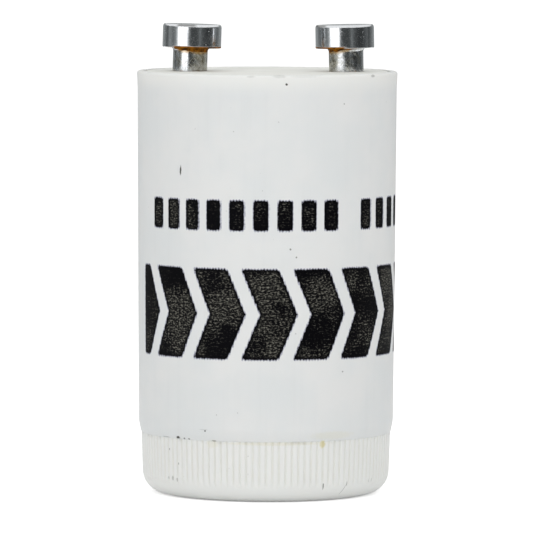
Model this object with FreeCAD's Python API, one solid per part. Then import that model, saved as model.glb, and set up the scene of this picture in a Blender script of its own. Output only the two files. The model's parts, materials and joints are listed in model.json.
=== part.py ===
import FreeCAD
import Part

import math
import os

# Glow starter for a fluorescent tube, in millimetres. It stands on the closed end of its can,
# with the contact pins up. The origin is the centre of that end, +Z runs along the can towards
# the pins, and the pins lie side by side along X.

# Outside of the can
BODY_HEIGHT = 34.8  # closed end to rim
MOUTH_RADIUS = 10.75  # outside of the rim
RIM_ROUNDING = 0.22
FLARE = 0.07  # how far the rim stands out past the wall below it
FLARE_HEIGHT = 1.4
WALL_TAPER = 0.17  # radius lost from below the flare down to the lip
LIP_HEIGHT = 5.05  # closed end to the underside of the lip above the ribs
LIP_STEP = 0.22  # how far the lip stands out past the ribbed band
LIP_BEVEL = 0.18  # width of the lip's bevelled lower edge
LIP_BEVEL_HEIGHT = 0.85
BAND_TAPER = 0.11  # radius lost from the lip down to the rounded edge
END_ROUNDING = 1.80  # rounded edge of the closed end

# Ribs of the grip band: flat crests with V grooves between them
RIB_COUNT = 120
GROOVE_DEPTH = 0.12
GROOVE_WIDTH = 0.24

# Inside of the can
WALL = 0.80
END_WALL = 1.20
INNER_ROUNDING = 1.10
SEAT_LEDGE = 0.26  # width of the ledge that the base disc rests on

# Base disc, pressed into the mouth of the can and held by a snap bead
DISC_THICKNESS = 1.80
DISC_RECESS = 0.04  # rim down to the outer face of the disc
DISC_CLEARANCE = 0.05
DISC_BEVEL = 0.18
BEAD_DEPTH = 0.20
BEAD_LENGTH = 0.64

# Contact pins: turned rivets with a mushroom head. They lean a little towards each other, and
# each head stands a little off the axis of its neck, on the side of the other pin.
PIN_SPACING = 12.90  # between the pins, at the outer face of the disc
PIN_OFFSET = 0.065  # how far right of the disc's middle the pair of pins stands
PIN_LEAN_LEFT = 1.6  # degrees
PIN_LEAN_RIGHT = 1.2
PIN_FIT = 0.02
HEAD_RADIUS = 2.42
HEAD_LENGTH = 1.93
HEAD_SHIFT_LEFT = 0.10  # of a head, off the axis of its neck
HEAD_SHIFT_RIGHT = 0.085
HEAD_TOP_BEVEL = 0.14
HEAD_LOWER_BEVEL = 0.05
NECK_RADIUS = 1.43
NECK_LENGTH = 1.93
NECK_FILLET = 0.28
SHANK_RADIUS = 1.15
COLLAR_RADIUS = 1.45  # swaged collar on the inner face of the disc
COLLAR_LENGTH = 0.50
COLLAR_BEVEL = 0.12
TAIL_LENGTH = 0.90
PIN_BORE_RADIUS = 0.72  # blind bore in the tail, which takes the wires
PIN_BORE_DEPTH = 2.60
SOLDER_DOME = 0.40
SOLDER_TOP_RADIUS = 0.62

# Wires
WIRE_RADIUS = 0.25
WIRE_PITCH = 0.62  # between the two wires in a pin's bore
WIRE_BEND = 0.70
WIRE_DROP = 1.55  # tail of the pin down to the level where the wires turn

# Glow lamp: a glass bulb with a pressed pinch towards the pins and a sealed tip
LAMP_RADIUS = 4.50
LAMP_LENGTH = 17.0  # shoulder to dome
LAMP_WALL = 0.60
SHOULDER_ROUNDING = 3.00
DOME_ROUNDING = 3.60
TIP_RADIUS = 0.80
TIP_END_RADIUS = 0.35
TIP_LENGTH = 2.00
PINCH_GAP = 0.95  # turn of the wires down to the top of the pinch
PINCH_HEIGHT = 3.40
PINCH_WIDTH = 6.20
PINCH_THICKNESS = 2.00
PINCH_ROUNDING = 0.50
LAMP_WIRE_SPACING = 3.20
WIRE_STUB = 2.00  # how far a lamp wire stands into the bulb

# Electrodes inside the glow lamp
ROD_RADIUS = 0.40
ROD_LENGTH = 7.00
STRIP_THICKNESS = 0.25
STRIP_WIDTH = 1.60
STRIP_DROP = 8.50  # end of the wire down to the turn of the strip
STRIP_RETURN = 5.50  # straight length of the free leg
STRIP_BEND = 0.65  # inner radius of the turn
STRIP_WELD = 1.40  # length of strip that is welded along the wire

# Capacitor, beside the glow lamp
CAPACITOR_WIDTH = 7.00
CAPACITOR_THICKNESS = 3.80
CAPACITOR_LENGTH = 11.0
CAPACITOR_ROUNDING = 1.00
CAPACITOR_GAP = 1.70  # turn of the wires down to the top of the capacitor
CAPACITOR_WIRE_SPACING = 5.00
CAPACITOR_WIRE_SEAT = 0.80  # how deep a wire sits in the capacitor
INNER_GAP = 0.30  # least gap from the lamp or capacitor to the wall of the can

# Places that follow from the sizes
shaft_radius = MOUTH_RADIUS - FLARE
lip_radius = shaft_radius - WALL_TAPER
band_radius = lip_radius - LIP_STEP
foot_radius = band_radius - BAND_TAPER
bore_radius = shaft_radius - WALL
bore_end_radius = foot_radius - WALL
seat_radius = bore_radius + SEAT_LEDGE
disc_radius = seat_radius - DISC_CLEARANCE
disc_top = BODY_HEIGHT - DISC_RECESS
disc_bottom = disc_top - DISC_THICKNESS
disc_middle = (disc_top + disc_bottom) / 2
tail_end = DISC_THICKNESS + COLLAR_LENGTH + TAIL_LENGTH
wire_turn = disc_top - tail_end - WIRE_DROP
pinch_top = wire_turn - PINCH_GAP
lamp_top = pinch_top - PINCH_HEIGHT
lamp_bottom = lamp_top - LAMP_LENGTH
cavity_top = lamp_top - LAMP_WALL
wire_end = cavity_top - WIRE_STUB
capacitor_top = wire_turn - CAPACITOR_GAP
slope_of_bore = (bore_radius - bore_end_radius) / (disc_bottom - END_WALL)
room_radius = bore_end_radius + slope_of_bore * (lamp_bottom - END_WALL) - INNER_GAP

# The lamp and the capacitor share the width of the can: the width that is left over is divided
# evenly between the wall, the two pieces and the far wall.
lamp_reach = room_radius - LAMP_RADIUS
capacitor_reach = math.sqrt(room_radius**2 - (CAPACITOR_WIDTH / 2) ** 2)
slack = (capacitor_reach - CAPACITOR_THICKNESS) - (LAMP_RADIUS - lamp_reach)
lamp_y = slack / 3 - lamp_reach
capacitor_y = capacitor_reach - slack / 3 - CAPACITOR_THICKNESS / 2

SIDES = {"left": -1, "right": 1}
LEANS = {SIDES["left"]: PIN_LEAN_LEFT, SIDES["right"]: PIN_LEAN_RIGHT}
HEAD_SHIFTS = {SIDES["left"]: HEAD_SHIFT_LEFT, SIDES["right"]: HEAD_SHIFT_RIGHT}
UP = FreeCAD.Vector(0, 0, 1)
ACROSS = FreeCAD.Vector(0, 1, 0)


def outline(start, *steps):
    """Closed edges in the X-Z plane. A step is a point for a line, or (point on the arc, end) for an arc."""
    edges = []
    here = start
    for step in (*steps, start):
        on_arc, end = step if isinstance(step[0], tuple) else (None, step)
        first = FreeCAD.Vector(here[0], 0, here[1])
        last = FreeCAD.Vector(end[0], 0, end[1])
        if on_arc:
            middle = FreeCAD.Vector(on_arc[0], 0, on_arc[1])
            edges.append(Part.Arc(first, middle, last).toShape())
        else:
            edges.append(Part.LineSegment(first, last).toShape())
        here = end
    return Part.Wire(edges)


def quarter(centre_x, centre_z, radius, from_degrees, to_degrees):
    """Arc step for outline, about a centre, as (point on the arc, end)."""
    places = []
    for degrees in ((from_degrees + to_degrees) / 2, to_degrees):
        angle = math.radians(degrees)
        places.append((centre_x + radius * math.cos(angle), centre_z + radius * math.sin(angle)))
    return tuple(places)


def turned(wire):
    """Solid of revolution about Z."""
    return Part.Face(wire).revolve(FreeCAD.Vector(), UP, 360)


def bent_wire(points, radius, bend):
    """Round wire through the points, with an arc of the bend radius at each corner."""
    edges = []
    here = points[0]
    for before, corner, after in zip(points, points[1:], points[2:]):
        back = (before - corner).normalize()
        ahead = (after - corner).normalize()
        half_turn = (math.pi - back.getAngle(ahead)) / 2
        setback = bend * math.tan(half_turn)
        inward = (back + ahead).normalize()
        nearest = corner + inward * (bend / math.cos(half_turn) - bend)
        arc_start = corner + back * setback
        arc_end = corner + ahead * setback
        edges.append(Part.LineSegment(here, arc_start).toShape())
        edges.append(Part.Arc(arc_start, nearest, arc_end).toShape())
        here = arc_end
    edges.append(Part.LineSegment(here, points[-1]).toShape())
    section = Part.Wire(Part.makeCircle(radius, points[0], points[1] - points[0]))
    return Part.Wire(edges).makePipeShell([section], True, False)


def pin_place(side):
    """Where a pin's own axis stands: at the outer face of the disc, leaning towards the other pin."""
    foot = FreeCAD.Vector(PIN_OFFSET + side * PIN_SPACING / 2, 0, disc_top)
    return FreeCAD.Placement(foot, FreeCAD.Rotation(ACROSS, -side * LEANS[side]))


def toothed_ring(height):
    """Closed wire at a height on the grip band: a groove's root, then a peak above the crest, and so on."""
    band_slope = BAND_TAPER / (LIP_HEIGHT - END_ROUNDING)
    crest_radius = foot_radius + band_slope * (height - END_ROUNDING)
    root_radius = crest_radius - GROOVE_DEPTH
    pitch = 2 * math.pi / RIB_COUNT
    peak_radius = root_radius + GROOVE_DEPTH * pitch * crest_radius / GROOVE_WIDTH
    corners = []
    for rib in range(RIB_COUNT):
        for radius, angle in ((root_radius, rib * pitch), (peak_radius, (rib + 0.5) * pitch)):
            corners.append(FreeCAD.Vector(radius * math.cos(angle), radius * math.sin(angle), height))
    return Part.makePolygon(corners + corners[:1])


def rib_cutter():
    """Ring whose toothed inside leaves the ribs standing below the lip."""
    teeth = Part.makeLoft([toothed_ring(0), toothed_ring(LIP_HEIGHT)], True, True)
    return Part.makeCylinder(MOUTH_RADIUS + WALL, LIP_HEIGHT).cut(teeth)


def canister():
    """Moulded can: ribbed grip band below a lip, tapered wall, flared mouth with a seat for the disc."""
    bead_top = disc_middle + BEAD_LENGTH / 2 + DISC_CLEARANCE
    bead_bottom = disc_middle - BEAD_LENGTH / 2 - DISC_CLEARANCE
    profile = outline(
        (0, 0),
        (foot_radius - END_ROUNDING, 0),
        quarter(foot_radius - END_ROUNDING, END_ROUNDING, END_ROUNDING, -90, 0),
        (band_radius, LIP_HEIGHT),
        (lip_radius - LIP_BEVEL, LIP_HEIGHT),
        (lip_radius, LIP_HEIGHT + LIP_BEVEL_HEIGHT),
        (shaft_radius, BODY_HEIGHT - FLARE_HEIGHT),
        (MOUTH_RADIUS, BODY_HEIGHT - RIM_ROUNDING),
        quarter(MOUTH_RADIUS - RIM_ROUNDING, BODY_HEIGHT - RIM_ROUNDING, RIM_ROUNDING, 0, 90),
        (seat_radius, BODY_HEIGHT),
        (seat_radius, bead_top),
        (seat_radius + BEAD_DEPTH, disc_middle),
        (seat_radius, bead_bottom),
        (seat_radius, disc_bottom),
        (bore_radius, disc_bottom),
        (bore_end_radius, END_WALL + INNER_ROUNDING),
        quarter(bore_end_radius - INNER_ROUNDING, END_WALL + INNER_ROUNDING, INNER_ROUNDING, 0, -90),
        (0, END_WALL),
    )
    return turned(profile).cut(rib_cutter())


def base_disc(*pins):
    """Insulating disc with a snap bead round its edge. The leaning pins are pressed into its faces."""
    profile = outline(
        (0, disc_bottom),
        (disc_radius - DISC_BEVEL, disc_bottom),
        (disc_radius, disc_bottom + DISC_BEVEL),
        (disc_radius, disc_middle - BEAD_LENGTH / 2),
        (disc_radius + BEAD_DEPTH, disc_middle),
        (disc_radius, disc_middle + BEAD_LENGTH / 2),
        (disc_radius, disc_top - DISC_BEVEL),
        (disc_radius - DISC_BEVEL, disc_top),
        (0, disc_top),
    )
    disc = turned(profile)
    for side in SIDES.values():
        hole = Part.makeCylinder(
            SHANK_RADIUS + PIN_FIT, 3 * DISC_THICKNESS, FreeCAD.Vector(0, 0, -2 * DISC_THICKNESS)
        )
        hole.Placement = pin_place(side)
        disc = disc.cut(hole)
    return disc.cut(Part.makeCompound(pins))


def pin_head(side):
    """Bevelled disc of a pin's head, in the pin's own frame, shifted towards the other pin."""
    head_foot = NECK_LENGTH
    head_top = head_foot + HEAD_LENGTH
    profile = outline(
        (0, head_top),
        (HEAD_RADIUS - HEAD_TOP_BEVEL, head_top),
        (HEAD_RADIUS, head_top - HEAD_TOP_BEVEL),
        (HEAD_RADIUS, head_foot + HEAD_LOWER_BEVEL),
        (HEAD_RADIUS - HEAD_LOWER_BEVEL, head_foot),
        (0, head_foot),
    )
    head = turned(profile)
    head.translate(FreeCAD.Vector(-side * HEAD_SHIFTS[side], 0, 0))
    return head


def contact_pin(side):
    """Rivet: head, filleted neck, shank through the disc, swaged collar on its inner face, hollow tail."""
    collar_top = -DISC_THICKNESS
    collar_bottom = collar_top - COLLAR_LENGTH
    fillet_x = NECK_RADIUS + NECK_FILLET
    fillet_z = NECK_LENGTH - NECK_FILLET
    profile = outline(
        (0, NECK_LENGTH),
        (fillet_x, NECK_LENGTH),
        quarter(fillet_x, fillet_z, NECK_FILLET, 90, 180),
        (NECK_RADIUS, 0),
        (SHANK_RADIUS, 0),
        (SHANK_RADIUS, collar_top),
        (COLLAR_RADIUS, collar_top),
        (COLLAR_RADIUS, collar_bottom + COLLAR_BEVEL),
        (COLLAR_RADIUS - COLLAR_BEVEL, collar_bottom),
        (SHANK_RADIUS, collar_bottom),
        (SHANK_RADIUS, -tail_end),
        (PIN_BORE_RADIUS, -tail_end),
        (PIN_BORE_RADIUS, PIN_BORE_DEPTH - tail_end),
        (0, PIN_BORE_DEPTH - tail_end),
    )
    pin = turned(profile).fuse(pin_head(side)).removeSplitter()
    pin.Placement = pin_place(side)
    return pin


def wire_points(side, row, far_x, far_y, far_z):
    """Route of a wire: down out of a pin's bore, across at the turning level, down to its far end."""
    place = pin_place(side)
    offset = row * WIRE_PITCH / 2
    return [
        place.multVec(FreeCAD.Vector(0, offset, PIN_BORE_DEPTH - tail_end)),
        place.multVec(FreeCAD.Vector(0, offset, -tail_end - WIRE_DROP)),
        FreeCAD.Vector(side * far_x, far_y, wire_turn),
        FreeCAD.Vector(side * far_x, far_y, far_z),
    ]


def lamp_wire(side):
    """Wire from a pin through the pinch into the glow lamp."""
    points = wire_points(side, -1, LAMP_WIRE_SPACING / 2, lamp_y, wire_end)
    return bent_wire(points, WIRE_RADIUS, WIRE_BEND)


def capacitor_wire(side):
    """Wire from a pin into the top of the capacitor."""
    far_z = capacitor_top - CAPACITOR_WIRE_SEAT
    points = wire_points(side, 1, CAPACITOR_WIRE_SPACING / 2, capacitor_y, far_z)
    return bent_wire(points, WIRE_RADIUS, WIRE_BEND)


def solder(side, *wires):
    """Solder that fills a pin's bore round its wires and stands out of it as a low cone."""
    profile = outline(
        (0, PIN_BORE_DEPTH - tail_end),
        (PIN_BORE_RADIUS, PIN_BORE_DEPTH - tail_end),
        (PIN_BORE_RADIUS, -tail_end),
        (SHANK_RADIUS, -tail_end),
        (SOLDER_TOP_RADIUS, -tail_end - SOLDER_DOME),
        (0, -tail_end - SOLDER_DOME),
    )
    joint = turned(profile)
    joint.Placement = pin_place(side)
    return joint.cut(Part.makeCompound(wires))


def lamp_profile(inset):
    """Half section of the bulb, set in from its outside by a distance, without the tip."""
    top = lamp_top - inset
    bottom = lamp_bottom + inset
    radius = LAMP_RADIUS - inset
    shoulder = SHOULDER_ROUNDING - inset
    dome = DOME_ROUNDING - inset
    return outline(
        (0, top),
        (radius - shoulder, top),
        quarter(radius - shoulder, top - shoulder, shoulder, 90, 0),
        (radius, bottom + dome),
        quarter(radius - dome, bottom + dome, dome, 0, -90),
        (0, bottom),
    )


def lamp_bulb():
    """Glass bulb with a wall, a sealed tip at the dome and a flat pinch that grips the lamp wires."""
    tip_foot = lamp_bottom + LAMP_WALL / 2
    tip_end = lamp_bottom - TIP_LENGTH
    tip = turned(outline((0, tip_end), (TIP_END_RADIUS, tip_end), (TIP_RADIUS, tip_foot), (0, tip_foot)))
    pinch_foot = lamp_top - 2 * LAMP_WALL
    pinch = Part.makeBox(
        PINCH_WIDTH,
        PINCH_THICKNESS,
        pinch_top - pinch_foot,
        FreeCAD.Vector(-PINCH_WIDTH / 2, -PINCH_THICKNESS / 2, pinch_foot),
    )
    upper_edges = [edge for edge in pinch.Edges if edge.BoundBox.ZMax > pinch_foot + PINCH_ROUNDING]
    pinch = pinch.makeFillet(PINCH_ROUNDING, upper_edges)
    glass = turned(lamp_profile(0)).fuse([tip, pinch]).cut(turned(lamp_profile(LAMP_WALL)))
    for side in SIDES.values():
        foot = FreeCAD.Vector(side * LAMP_WIRE_SPACING / 2, 0, wire_end)
        glass = glass.cut(Part.makeCylinder(WIRE_RADIUS, pinch_top - wire_end, foot))
    glass.translate(FreeCAD.Vector(0, lamp_y, 0))
    return glass


def fixed_electrode():
    """Plain rod butted to the end of the left lamp wire."""
    foot = FreeCAD.Vector(-LAMP_WIRE_SPACING / 2, lamp_y, wire_end - ROD_LENGTH)
    return Part.makeCylinder(ROD_RADIUS, ROD_LENGTH, foot)


def bimetal_strip():
    """U-shaped strip, welded along the right lamp wire, whose free leg stands beside the rod."""
    outer_x = LAMP_WIRE_SPACING / 2 + WIRE_RADIUS + STRIP_THICKNESS
    turn_radius = STRIP_BEND + STRIP_THICKNESS
    centre_x = outer_x - turn_radius
    turn_z = wire_end - STRIP_DROP
    free_end = turn_z + STRIP_RETURN
    section = outline(
        (outer_x, wire_end + STRIP_WELD),
        (outer_x, turn_z),
        ((centre_x, turn_z - turn_radius), (centre_x - turn_radius, turn_z)),
        (centre_x - turn_radius, free_end),
        (centre_x - STRIP_BEND, free_end),
        (centre_x - STRIP_BEND, turn_z),
        ((centre_x, turn_z - STRIP_BEND), (centre_x + STRIP_BEND, turn_z)),
        (centre_x + STRIP_BEND, wire_end + STRIP_WELD),
    )
    strip = Part.Face(section).extrude(ACROSS * STRIP_WIDTH)
    strip.translate(ACROSS * (lamp_y - STRIP_WIDTH / 2))
    return strip


def capacitor(*wires):
    """Dipped film capacitor: a rounded block with its wires let into the top."""
    corner = FreeCAD.Vector(
        -CAPACITOR_WIDTH / 2, capacitor_y - CAPACITOR_THICKNESS / 2, capacitor_top - CAPACITOR_LENGTH
    )
    block = Part.makeBox(CAPACITOR_WIDTH, CAPACITOR_THICKNESS, CAPACITOR_LENGTH, corner)
    return block.makeFillet(CAPACITOR_ROUNDING, block.Edges).cut(Part.makeCompound(wires))


def build():
    """Every piece of the starter, by name."""
    pins = {name: contact_pin(side) for name, side in SIDES.items()}
    lamp_wires = {name: lamp_wire(side) for name, side in SIDES.items()}
    capacitor_wires = {name: capacitor_wire(side) for name, side in SIDES.items()}
    pieces = {
        "canister": canister(),
        "base_disc": base_disc(*pins.values()),
        "glow_lamp_bulb": lamp_bulb(),
        "fixed_electrode": fixed_electrode(),
        "bimetal_strip": bimetal_strip(),
        "capacitor": capacitor(*capacitor_wires.values()),
    }
    for name, side in SIDES.items():
        pieces["contact_pin_" + name] = pins[name]
        pieces["solder_" + name] = solder(side, lamp_wires[name], capacitor_wires[name])
        pieces["lamp_wire_" + name] = lamp_wires[name]
        pieces["capacitor_wire_" + name] = capacitor_wires[name]
    return pieces


os.makedirs("parts", exist_ok=True)
for node, shape in build().items():
    shape.exportStep("parts/" + node + ".step")
    print(f"{node}: {len(shape.Solids)} solid, {shape.Volume:.2f} mm3, valid {shape.isValid()}")
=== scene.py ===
"""Glow starter for a fluorescent tube: the looks of its can, disc, pins and inner parts.

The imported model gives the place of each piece. The can and the contact pins are turned again here
with a finer surface, and every piece gets its own finish. Lengths are in millimetres while a piece is
modelled, and in metres once it is done.
"""

import json
import logging
import math
from dataclasses import dataclass, field
from enum import Enum
from typing import Callable, Iterable, Mapping, Sequence, Union

import bpy
from mathutils import Matrix, Vector


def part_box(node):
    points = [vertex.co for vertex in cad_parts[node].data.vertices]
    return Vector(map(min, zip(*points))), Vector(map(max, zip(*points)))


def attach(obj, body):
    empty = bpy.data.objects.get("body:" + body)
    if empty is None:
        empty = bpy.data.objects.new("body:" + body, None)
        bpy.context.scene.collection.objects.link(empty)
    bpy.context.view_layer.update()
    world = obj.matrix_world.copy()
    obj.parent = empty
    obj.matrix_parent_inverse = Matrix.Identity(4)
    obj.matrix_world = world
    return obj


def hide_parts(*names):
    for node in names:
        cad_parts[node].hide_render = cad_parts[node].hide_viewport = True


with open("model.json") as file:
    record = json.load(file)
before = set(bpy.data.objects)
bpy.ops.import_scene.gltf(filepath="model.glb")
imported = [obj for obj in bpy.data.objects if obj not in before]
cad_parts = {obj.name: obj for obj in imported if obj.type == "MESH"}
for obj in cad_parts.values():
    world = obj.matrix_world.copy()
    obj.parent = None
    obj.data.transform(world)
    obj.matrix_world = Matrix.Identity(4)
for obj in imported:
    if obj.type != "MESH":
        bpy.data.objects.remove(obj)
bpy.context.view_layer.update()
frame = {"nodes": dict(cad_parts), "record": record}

log = logging.getLogger("starter")

MM = 0.001
FRONT = -math.pi / 2  # the side of the can that faces the camera, as an angle about +Z from +X
NEAR = 1e-4  # two points nearer than this are one

Number = Union[int, float]
Colour = tuple[float, float, float]


def linear(red: int, green: int, blue: int) -> Colour:
    """Turns a colour as a screen shows it into the linear colour that a shader takes.

    Args:
        red: 0 to 255.
        green: 0 to 255.
        blue: 0 to 255.

    Returns:
        The linear colour.
    """

    def channel(value: int) -> float:
        """One channel, by the sRGB curve."""
        share = value / 255
        return share / 12.92 if share <= 0.04045 else ((share + 0.055) / 1.055) ** 2.4

    return (channel(red), channel(green), channel(blue))


def operator(operation: str, swapped: bool = False) -> Callable[["Value", "Operand"], "Value"]:
    """Makes an operator of Value that adds one Math node.

    Args:
        operation: The Math node's operation.
        swapped: Whether the other operand comes first, as in the reflected operators.

    Returns:
        The method.
    """

    def method(self: "Value", other: "Operand") -> "Value":
        """Adds the node and gives its result."""
        return self.graph.math(operation, *((other, self) if swapped else (self, other)))

    return method


class Value:
    """A socket of a node tree that takes Python's operators. Each one adds a Math node.

    The bar gives the larger of two masks and the ampersand the smaller. A remainder is never negative.
    """

    __add__ = operator("ADD")
    __radd__ = operator("ADD", swapped=True)
    __sub__ = operator("SUBTRACT")
    __rsub__ = operator("SUBTRACT", swapped=True)
    __mul__ = operator("MULTIPLY")
    __rmul__ = operator("MULTIPLY", swapped=True)
    __truediv__ = operator("DIVIDE")
    __mod__ = operator("FLOORED_MODULO")
    __or__ = operator("MAXIMUM")
    __and__ = operator("MINIMUM")

    def __init__(self, graph: "Graph", socket: bpy.types.NodeSocket) -> None:
        """Wraps an output socket of the node tree."""
        self.graph = graph
        self.socket = socket

    def __neg__(self) -> "Value":
        """Opposite."""
        return self.graph.math("MULTIPLY", self, -1.0)

    def __abs__(self) -> "Value":
        """Size without sign."""
        return self.graph.math("ABSOLUTE", self)


Operand = Union[Value, Number]
Input = Union[Value, Number, Sequence[float]]


class Graph:
    """The node tree of one material or world, and the short ways to add to it."""

    def __init__(self, tree: bpy.types.NodeTree) -> None:
        """Takes a node tree to fill, and empties it."""
        self.tree = tree
        tree.nodes.clear()

    def node(
        self,
        kind: str,
        settings: Mapping[str, object] | None = None,
        inputs: Mapping[Union[int, str], Input] | None = None,
    ) -> bpy.types.Node:
        """Adds a node.

        Args:
            kind: The node's type.
            settings: Its own properties, set first. The name stops gives a ramp's (place, colour) pairs.
            inputs: The value or link of each socket, by name or by index.

        Returns:
            The node.
        """
        made = self.tree.nodes.new(kind)
        for name, value in (settings or {}).items():
            if name == "stops":
                elements = made.color_ramp.elements
                while len(elements) < len(value):
                    elements.new(1.0)
                for element, (place, colour) in zip(elements, value):
                    element.position = place
                    element.color = (*colour, 1.0)
            else:
                setattr(made, name, value)
        for key, value in (inputs or {}).items():
            if isinstance(value, Value):
                self.tree.links.new(value.socket, made.inputs[key])
            elif isinstance(made.inputs[key].default_value, (int, float)):
                made.inputs[key].default_value = value
            else:
                whole = tuple(value)
                size = len(made.inputs[key].default_value)
                made.inputs[key].default_value = whole + (1.0,) * (size - len(whole))
        return made

    def value(self, node: bpy.types.Node, output: Union[int, str] = 0) -> Value:
        """One output of a node, wrapped."""
        return Value(self, node.outputs[output])

    def math(self, operation: str, *operands: Operand) -> Value:
        """Adds a Math node with its inputs in order, and gives its result."""
        return self.value(self.node("ShaderNodeMath", {"operation": operation}, dict(enumerate(operands))))

    def vector(self, operation: str, *operands: Input) -> Value:
        """Adds a Vector Math node and gives its vector, or its value for a length or distance."""
        made = self.node("ShaderNodeVectorMath", {"operation": operation}, dict(enumerate(operands)))
        return self.value(made, "Value" if operation in ("LENGTH", "DISTANCE") else "Vector")

    def combine(self, x: Operand, y: Operand, z: Operand = 0.0) -> Value:
        """A vector of three numbers."""
        return self.value(self.node("ShaderNodeCombineXYZ", None, {0: x, 1: y, 2: z}))

    def split(self, vector: Value) -> tuple[Value, Value, Value]:
        """The three numbers of a vector."""
        made = self.node("ShaderNodeSeparateXYZ", None, {0: vector})
        return self.value(made, 0), self.value(made, 1), self.value(made, 2)

    def place(self) -> Value:
        """Adds the point on the piece.

        Returns:
            Its place in the part's own frame, in millimetres.
        """
        coordinates = self.value(self.node("ShaderNodeTexCoord"), "Object")
        scaled = self.node("ShaderNodeVectorMath", {"operation": "SCALE"}, {0: coordinates, "Scale": 1 / MM})
        return self.value(scaled, "Vector")

    def away(self, x: Value, y: Value) -> Value:
        """Distance of a point from the Z axis."""
        return self.math("POWER", x * x + y * y, 0.5)

    def turn(self, x: Value, y: Value) -> Value:
        """Angle of a point round the Z axis from the front, to the right, in radians."""
        return self.math("ARCTAN2", x, -y)

    def leaning(
        self,
        place: Value,
        middle: Sequence[float],
        turn: Sequence[float],
        size: Sequence[float] = (1.0, 1.0, 1.0),
    ) -> Value:
        """A point in a frame of its own.

        Args:
            place: The point.
            middle: Where that frame stands.
            turn: Its rotation, in radians.
            size: Its unit along each axis.

        Returns:
            The point, measured in that frame.
        """
        settings = {"vector_type": "TEXTURE"}
        inputs = {"Vector": place, "Location": middle, "Rotation": turn, "Scale": size}
        return self.value(self.node("ShaderNodeMapping", settings, inputs))

    def noise(self, vector: Value, scale: float, detail: float = 2.0, roughness: float = 0.5) -> Value:
        """Smooth noise about 0.5, read at a point in mm, with scale in waves per mm."""
        inputs = {"Vector": vector, "Scale": scale, "Detail": detail, "Roughness": roughness}
        return self.value(self.node("ShaderNodeTexNoise", {"noise_dimensions": "3D"}, inputs))

    def ease(self, value: Value, low: float, high: float) -> Value:
        """0 where the value is at low, 1 where it is at high, eased between. Low may be the larger.

        Args:
            value: What is looked at.
            low: The value that gives 0.
            high: The value that gives 1.

        Returns:
            The mask.
        """
        settings = {"interpolation_type": "SMOOTHSTEP"}
        if low <= high:
            ends = {"Value": value, "From Min": low, "From Max": high}
            return self.value(self.node("ShaderNodeMapRange", settings, ends))
        ends = {"Value": value, "From Min": high, "From Max": low}
        return 1.0 - self.value(self.node("ShaderNodeMapRange", settings, ends))

    def blend(self, share: Operand, first: Input, second: Input) -> Value:
        """Mixes two colours: a share of 0 gives the first, and 1 the second."""
        made = self.node("ShaderNodeMix", {"data_type": "RGBA"}, {0: share, 6: first, 7: second})
        return self.value(made, 2)

    def bump(self, height: Value, depth: float, normal: Value | None = None) -> Value:
        """A bumped normal.

        Args:
            height: The relief, from 0 to 1.
            depth: How many millimetres a relief of 1 stands out.
            normal: A normal that it adds to.

        Returns:
            The normal.
        """
        inputs: dict[Union[int, str], Input] = {"Height": height, "Distance": depth * MM, "Strength": 1.0}
        if normal is not None:
            inputs["Normal"] = normal
        return self.value(self.node("ShaderNodeBump", None, inputs))

    def surface(self, **inputs: Input) -> None:
        """Ends a material in a Principled shader.

        Args:
            **inputs: The value or link of each socket. Underscores in the names stand for spaces.
        """
        named = {name.replace("_", " "): value for name, value in inputs.items()}
        shader = self.node("ShaderNodeBsdfPrincipled", None, named)
        self.node("ShaderNodeOutputMaterial", None, {"Surface": self.value(shader)})


def new_material(name: str) -> tuple[bpy.types.Material, Graph]:
    """Makes a material.

    Args:
        name: Its name.

    Returns:
        The material, and its empty node tree.
    """
    made = bpy.data.materials.new(name)
    made.use_nodes = True
    return made, Graph(made.node_tree)


@dataclass(frozen=True)
class Finish:
    """What a piece is coated or made of. Each kind of finish paints a node tree of its own."""

    name: str

    def paint(self, graph: Graph) -> None:
        """Fills the node tree. Each finish has its own."""
        raise NotImplementedError

    def dress(self, piece: bpy.types.Object) -> None:
        """Gives a piece this finish and no other.

        Args:
            piece: The object to dress.
        """
        material, graph = new_material(self.name)
        self.paint(graph)
        piece.data.materials.clear()
        piece.data.materials.append(material)


@dataclass(frozen=True)
class Mark:
    """A speck, smear or scratch on the can's wall."""

    across: float  # millimetres round the wall from the front, to the right
    height: float  # millimetres above the closed end
    width: float
    length: float
    strength: float = 0.8
    lean: float = 0.0  # degrees, clockwise as seen from outside


class Row(Enum):
    """The two printed rows: the height of the row's middle and half of its own height, in mm."""

    SMALL = (23.42, 1.25)
    LARGE = (15.41, 3.69)


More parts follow.
